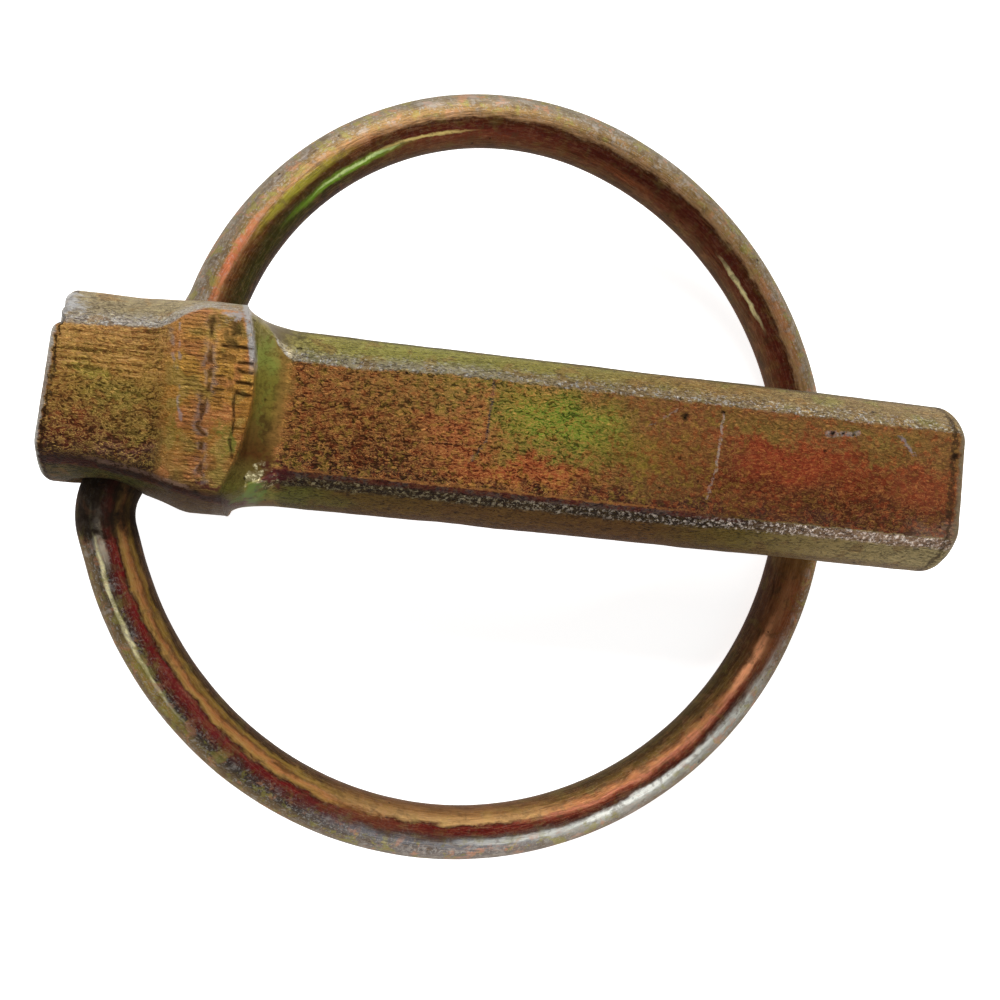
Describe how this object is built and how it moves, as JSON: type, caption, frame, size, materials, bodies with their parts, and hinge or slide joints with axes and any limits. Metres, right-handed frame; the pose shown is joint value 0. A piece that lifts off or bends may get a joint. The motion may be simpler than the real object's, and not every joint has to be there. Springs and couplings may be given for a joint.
{
  "type": "lynch pin",
  "caption": "Lynch pin: round shank with a pressed flat, forged flat-sided head and collar, and a sprung wire ring that swings in the head's slanting hole and closes behind the shank.",
  "frame": {"origin": "on the shank's axis where its straight part begins, past the hollow neck", "axes": "+X along the shank to its tip, +Y across the pin, +Z out of the pressed flat"},
  "size_m": [0.0566, 0.0507, 0.0155],
  "materials": {
    "pin_steel": "forged steel, yellow zinc chromate, worn and stained",
    "ring_wire": "spring steel wire, yellow zinc chromate, worn"
  },
  "bodies": {
    "pin": {"pin": "pin_steel"},
    "ring": {"ring": "ring_wire"}
  },
  "joints": [
    {"name": "ring_swing", "type": "hinge", "parent": "pin", "child": "ring", "pos_m": [-0.0082, 0, 0], "axis": [0.3786, 0.9231, -0.068], "range_deg": [0, 338]}
  ]
}
